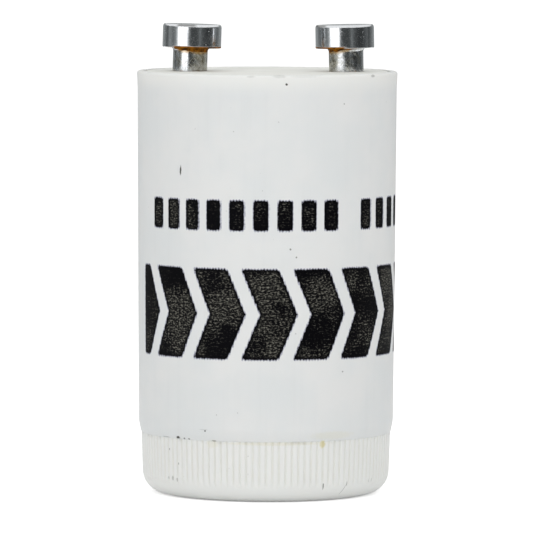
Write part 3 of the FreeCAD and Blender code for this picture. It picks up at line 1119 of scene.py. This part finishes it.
@dataclass
class Pin:
    """A turned contact pin: head, filleted neck, shank through the disc, collar and hollow tail. In mm."""

    side: str
    foot: Vector
    axis: Vector
    disc_thickness: float
    head_shift: float  # of the head off the neck's axis, to the right
    head_radius: float = 2.42
    head_length: float = 1.93
    top_bevel: float = 0.14
    lower_bevel: float = 0.05
    crown: float = 0.22  # how far down the head its rounded upper edge reaches
    # The curve over that edge: bevels in from the wall, bevels down from the top, and rounding
    crown_curve: tuple[tuple[float, float, float], ...] = (
        (2.0, 0.0, 0.3),
        (0.85, 0.0, 0.05),
        (0.3, 0.55, 0.05),
    )
    crown_foot: float = 0.3  # rounding where the curve meets the wall
    dish: float = 0.05
    dish_share: float = 0.62  # of the head's radius
    dish_blend: float = 1.0
    lower_edge: float = 0.02
    neck_radius: float = 1.43
    neck_length: float = 1.93
    neck_fillet: float = 0.28
    shank_radius: float = 1.15
    collar_radius: float = 1.45
    collar_length: float = 0.50
    collar_edge: float = 0.12
    tail_length: float = 0.90
    bore_radius: float = 0.72
    bore_depth: float = 2.60
    turning_steps: int = 144
    piece: bpy.types.Object = field(init=False)

    def corners(self) -> list[Corner]:
        """The half section of the pin, from the middle of the head's top to the floor of the bore.

        Returns:
            The corners.
        """
        foot = self.neck_length
        top = foot + self.head_length
        collar = -self.disc_thickness
        tail = collar - self.collar_length - self.tail_length
        return [
            Corner(0.0, top - self.dish),
            Corner(self.head_radius * self.dish_share, top - self.dish, self.dish_blend, 3),
            *(
                Corner(self.head_radius - inward * self.top_bevel, top - down * self.top_bevel, rounding, 3)
                for inward, down, rounding in self.crown_curve
            ),
            Corner(self.head_radius, top - self.crown, self.crown_foot, 4),
            Corner(self.head_radius, top - self.head_length * 0.5),
            Corner(self.head_radius, foot + 3 * self.lower_bevel),
            Corner(self.head_radius, foot + self.lower_bevel, self.lower_edge, 2),
            Corner(self.head_radius - self.lower_bevel, foot, self.lower_edge, 2),
            Corner(self.neck_radius, foot, self.neck_fillet, 6),
            Corner(self.neck_radius, self.neck_length * 0.45),
            Corner(self.neck_radius, 0.0),
            Corner(self.shank_radius, 0.0),
            Corner(self.shank_radius, collar),
            Corner(self.collar_radius, collar),
            Corner(self.collar_radius, collar - self.collar_length, self.collar_edge, 3),
            Corner(self.shank_radius, collar - self.collar_length),
            Corner(self.shank_radius, tail),
            Corner(self.bore_radius, tail),
            Corner(self.bore_radius, tail + self.bore_depth),
            Corner(0.0, tail + self.bore_depth),
        ]

    def build(self) -> None:
        """Turns the pin about its own axis, then leans it and sets it on its foot."""
        self.piece = draw_section("contact_pin_" + self.side + "_turned", self.corners())
        spin(self.turning_steps)
        close_turned(self.piece)
        start_edit(self.piece)
        underside = self.neck_length - NEAR
        fillet_top = self.neck_radius + self.neck_fillet + 0.05

        def on_head(place: Vector) -> bool:
            """Whether a vertex is on the head, and not on the fillet below it."""
            return place.z > underside and (place.z > underside + 0.01 or place.xy.length > fillet_top)

        pick(self.piece, on_head)
        bpy.ops.transform.translate(value=(self.head_shift, 0.0, 0.0))
        bpy.ops.object.mode_set(mode="OBJECT")
        lean = Vector((0.0, 0.0, 1.0)).rotation_difference(self.axis).to_matrix().to_4x4()
        to_metres(self.piece, Matrix.Translation(self.foot) @ lean)

    def dress(self, finish: Finish) -> None:
        """Gives the pin its finish and ties it to the frame.

        Args:
            finish: The pin's finish.
        """
        finish.dress(self.piece)
        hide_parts("contact_pin_" + self.side)
        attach(self.piece, "root")


@dataclass
class Studio:
    """Floor, world, lamps, reflection drum and camera. Lengths are in metres."""

    floor_size: float = 9.0
    floor_white: Colour = (0.95, 0.95, 0.95)
    floor_lift: float = 0.50
    dome: float = 0.63
    lamp_distance: float = 0.34
    lamp_width: float = 0.26
    lamp_height: float = 0.40
    # Each lamp beside the camera: name, degrees round the starter from the camera to the right, and level
    side_lamps: tuple[tuple[str, float, float], ...] = (("key", -38.0, 0.88), ("fill", 38.0, 0.78))
    over_place: tuple[float, float, float] = (0.0, -0.05, 0.45)
    over_size: float = 0.3
    over_level: float = 0.9
    drum_radius: float = 0.12
    drum_height: float = 0.082
    drum_gap: float = 0.001  # above the floor
    drum_steps: int = 96
    camera_distance: float = 0.48017
    camera_height: float = 0.0510
    camera_pitch: float = 3.8575
    camera_roll: float = 0.2295
    camera_focal: float = 5826.9
    photo_width: int = 533
    sensor: float = 36.0
    # What the plating mirrors: degrees round the starter from the camera, to the right, and the tone there
    mirrored: tuple[tuple[float, float], ...] = (
        (-180.0, 0.42),
        (-135.0, 0.28),
        (-112.0, 0.09),
        (-97.0, 0.27),
        (-76.0, 0.15),
        (-61.0, 0.40),
        (-57.0, 1.70),
        (-21.0, 1.70),
        (-16.0, 0.24),
        (-8.0, 0.07),
        (14.0, 0.06),
        (24.0, 0.10),
        (30.0, 0.22),
        (36.0, 0.10),
        (56.0, 0.045),
        (72.0, 0.05),
        (96.0, 0.13),
        (108.0, 0.07),
        (136.0, 0.26),
        (180.0, 0.42),
    )
    mirrored_white: float = 1.7

    def tinted(self, tone: float) -> Colour:
        """A mirrored tone as a ramp colour. The dark ones are a little cold."""
        level = tone / self.mirrored_white
        return (level * (0.93 + 0.07 * min(tone, 1.0)), level, level)

    def seen(self, graph: Graph) -> Value:
        """Tells the rays that see the white background from those that light the starter.

        Args:
            graph: The node tree to add to.

        Returns:
            1 for camera, glossy and transmission rays, and 0 for the rest.
        """
        rays = graph.node("ShaderNodeLightPath")
        seen = graph.value(rays, "Is Camera Ray") | graph.value(rays, "Is Glossy Ray")
        return seen | graph.value(rays, "Is Transmission Ray")

    def build_world(self) -> None:
        """White where it is seen, and a plain dome of light elsewhere."""
        world = bpy.data.worlds.new("studio")
        world.use_nodes = True
        graph = Graph(world.node_tree)
        strength = self.dome + (1.0 - self.dome) * self.seen(graph)
        inputs = {"Color": (1.0, 1.0, 1.0), "Strength": strength}
        background = graph.node("ShaderNodeBackground", None, inputs)
        graph.node("ShaderNodeOutputWorld", None, {"Surface": graph.value(background)})
        bpy.context.scene.world = world

    def build_floor(self) -> None:
        """A pale floor that fills the view to white and keeps the soft shadow of the starter."""
        bpy.ops.object.select_all(action="DESELECT")
        bpy.ops.mesh.primitive_plane_add(size=self.floor_size, location=(0.0, 0.0, 0.0))
        floor = bpy.context.object
        floor.name = "floor"
        material, graph = new_material("floor_white")
        graph.surface(
            Base_Color=self.floor_white,
            Roughness=0.9,
            Specular_IOR_Level=0.0,
            Emission_Color=(1.0, 1.0, 1.0),
            Emission_Strength=self.floor_lift * self.seen(graph),
        )
        floor.data.materials.append(material)

    @staticmethod
    def add_lamp(name: str, place: Vector, aim: Vector, size: tuple[float, float], level: float) -> None:
        """Adds a soft lamp. Metal doesn't mirror it: the drum stands for it there.

        Args:
            name: The lamp's name.
            place: Where its middle is.
            aim: The point that it faces.
            size: Its width and height.
            level: Its brightness, where 1 is white.
        """
        data = bpy.data.lights.new(name, "AREA")
        data.shape = "RECTANGLE"
        data.size, data.size_y = size
        data.energy = level * math.pi * size[0] * size[1]
        lamp = bpy.data.objects.new(name, data)
        bpy.context.scene.collection.objects.link(lamp)
        lamp.location = place
        lamp.rotation_euler = (aim - place).to_track_quat("-Z", "Y").to_euler()
        lamp.visible_glossy = False
        lamp.visible_camera = False

    def build_lamps(self) -> None:
        """Stands a tall soft lamp to each side of the camera, and hangs one over the starter."""
        size = (self.lamp_width, self.lamp_height)
        middle = Vector((0.0, 0.0, self.lamp_height / 2))
        for name, turn, level in self.side_lamps:
            angle = FRONT + math.radians(turn)
            place = middle + self.lamp_distance * Vector((math.cos(angle), math.sin(angle), 0.0))
            self.add_lamp(name, place, middle, size, level)
        size = (self.over_size, self.over_size)
        self.add_lamp("over", Vector(self.over_place), Vector((0.0, 0.0, 0.0)), size, self.over_level)

    def build_drum(self) -> None:
        """Stands a drum round the starter that only gloss and metal see, with tones round its inside."""
        foot = Corner(self.drum_radius, self.drum_gap)
        drum = draw_section("reflection_drum", (foot, Corner(foot.radius, foot.height + self.drum_height)))
        spin(self.drum_steps)
        close_turned(drum)
        material, graph = new_material("drum_tones")
        x, y, _ = graph.split(graph.place())
        turn = graph.turn(x, y) / (2 * math.pi) + 0.5
        stops = [((degrees + 180) / 360, self.tinted(tone)) for degrees, tone in self.mirrored]
        tones = graph.node("ShaderNodeValToRGB", {"stops": stops}, {0: turn})
        graph.surface(
            Base_Color=(0.0, 0.0, 0.0),
            Specular_IOR_Level=0.0,
            Emission_Color=graph.value(tones, "Color"),
            Emission_Strength=self.mirrored_white,
        )
        drum.data.materials.append(material)
        drum.visible_camera = False
        drum.visible_diffuse = False
        drum.visible_shadow = False
        drum.visible_transmission = False

    def build_camera(self) -> None:
        """The photograph's view: slightly from above, with a long lens."""
        data = bpy.data.cameras.new("camera")
        data.sensor_width = self.sensor
        data.sensor_fit = "HORIZONTAL"
        data.lens = self.camera_focal / self.photo_width * self.sensor
        data.clip_start = 0.01
        camera = bpy.data.objects.new("camera", data)
        bpy.context.scene.collection.objects.link(camera)
        pitch = Matrix.Rotation(math.pi / 2 - math.radians(self.camera_pitch), 4, "X")
        roll = Matrix.Rotation(math.radians(self.camera_roll), 4, "Z")
        place = Matrix.Translation((0.0, -self.camera_distance, self.camera_height))
        camera.matrix_world = place @ pitch @ roll
        bpy.context.scene.camera = camera

    def build(self) -> None:
        """Sets the whole studio up."""
        bpy.context.scene.view_settings.view_transform = "Standard"
        self.build_world()
        self.build_floor()
        self.build_lamps()
        self.build_drum()
        self.build_camera()


CAN_MARKS = (
    Mark(1.55, 34.05, 0.2, 0.2, 0.95),
    Mark(-7.62, 26.94, 0.17, 0.85, 0.95, 4.0),
    Mark(1.94, 20.71, 0.16, 0.16, 0.7),
    Mark(2.44, 20.06, 0.14, 0.14, 0.7),
    Mark(6.62, 32.42, 0.12, 0.12, 0.6),
    Mark(-7.47, 12.42, 0.2, 0.34, 0.5),
    Mark(-7.95, 12.75, 0.12, 0.3, 0.25),
    Mark(6.68, 10.67, 0.16, 0.12, 0.6),
    Mark(-5.19, 5.85, 0.16, 0.16, 0.8),
    Mark(-5.3, 5.95, 0.8, 0.1, 0.15),
    Mark(-8.06, 5.16, 0.42, 0.22, 0.95),
    Mark(-7.37, 5.1, 0.2, 0.16, 0.7),
    Mark(-6.88, 5.1, 0.2, 0.14, 0.7),
    Mark(-9.6, 5.1, 1.0, 0.1, 0.35),
    Mark(-4.44, 5.06, 0.45, 0.14, 0.5),
    Mark(5.1, 1.33, 0.12, 0.55, 0.7),
    Mark(7.53, 1.45, 0.1, 0.4, 0.5),
    Mark(7.25, 0.95, 0.08, 1.2, 0.4, 28.0),
    Mark(10.4, 1.5, 0.12, 0.35, 0.35),
    Mark(10.8, 1.5, 0.12, 0.35, 0.35),
    Mark(-8.95, 1.75, 0.14, 0.45, 0.35),
    Mark(-8.4, 1.65, 0.12, 0.35, 0.35),
    Mark(-9.5, 1.75, 0.12, 0.3, 0.3),
    Mark(-8.15, 2.99, 0.14, 0.2, 0.5),
    Mark(-9.25, 4.1, 0.14, 0.2, 0.5),
    Mark(-1.3, 34.66, 0.7, 0.16, 0.16),
    Mark(1.0, 34.7, 1.1, 0.3, 0.16),
    Mark(0.98, 34.78, 0.35, 0.14, 0.2),
    Mark(3.1, 34.7, 2.4, 0.26, 0.09),
    Mark(9.85, 34.62, 0.55, 0.26, 0.35),
)

CAN_STAINS = (
    Mark(4.92, 4.8, 0.55, 0.7, 0.6),
    Mark(5.8, 5.5, 4.2, 0.7, 0.12),
    Mark(-4.6, 4.8, 1.1, 0.7, 0.12),
    Mark(0.8, 4.9, 9.0, 0.3, 0.14),
)


def mount(name: str) -> Mapping[str, object]:
    """The record's mount of that name."""
    return next(entry for entry in frame["record"]["mounts"] if entry["name"] == name)


def build_pins(disc_low: Vector, disc_high: Vector) -> list[Pin]:
    """Turns both pins on the axes that the record gives.

    Args:
        disc_low: Lowest corner of the base disc, in metres.
        disc_high: Highest corner of the base disc, in metres.

    Returns:
        The pins.
    """
    pins = []
    for side, look in PIN_LOOKS.items():
        head = mount("pin_head_" + side)
        axis = Vector(head["axis"]).normalized()
        middle = Vector(head["pos_m"]) / MM - Vector((axis.z, 0.0, -axis.x)) * look.head_shift
        foot = middle - axis * ((middle.z - disc_high.z / MM) / axis.z)
        pin = Pin(side, foot, axis, (disc_high.z - disc_low.z) / MM, look.head_shift)
        pin.build()
        lean = math.atan2(axis.x, axis.z)
        pin.dress(PlatedMetal("plated_pin_" + side, foot=tuple(foot), lean=lean, look=look))
        log.info("pin %s: %d faces", side, len(pin.piece.data.polygons))
        pins.append(pin)
    return pins


def dress_nodes(finishes: Iterable[tuple[Finish, Sequence[str]]]) -> None:
    """Gives each carried-over node its finish.

    Args:
        finishes: Each finish with the names of its nodes.
    """
    for finish, names in finishes:
        for name in names:
            finish.dress(frame["nodes"][name])
            log.info("node %s: %s", name, finish.name)


WIRES = tuple(f"{end}_wire_{side}" for end in ("lamp", "capacitor") for side in PIN_LOOKS)
SOLDERS = tuple(f"solder_{side}" for side in PIN_LOOKS)

INNER_FINISHES = (
    (BulbGlass(), ("glow_lamp_bulb",)),
    (DippedCoat(), ("capacitor",)),
    (PlainMetal("tinned_wire"), WIRES),
    (PlainMetal("solder", linear(176, 177, 178), linear(132, 133, 134), 0.4), SOLDERS),
    (PlainMetal("electrode_metal", linear(150, 150, 152), linear(112, 112, 115), 0.4), ("fixed_electrode",)),
    (PlainMetal("bimetal", linear(196, 178, 146), linear(150, 128, 92)), ("bimetal_strip",)),
)


def main() -> None:
    """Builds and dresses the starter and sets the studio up."""
    logging.basicConfig(level=logging.INFO, format="%(name)s %(message)s")
    _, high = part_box("canister")
    disc_low, disc_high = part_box("base_disc")
    can = Can(
        height=high.z / MM,
        mouth_radius=high.x / MM,
        disc_bottom=disc_low.z / MM,
        disc_top=disc_high.z / MM,
    )
    can.build()
    can.dress(PrintedPlastic(marks=CAN_MARKS, stains=CAN_STAINS))
    log.info("can: %d faces", len(can.piece.data.polygons))
    pins = build_pins(disc_low, disc_high)
    feet = tuple((pin.foot.x, pin.foot.y) for pin in pins)
    dress_nodes(((DiscPlastic(pin_feet=feet), ("base_disc",)), *INNER_FINISHES))
    Studio().build()


if __name__ == "__main__":
    main()
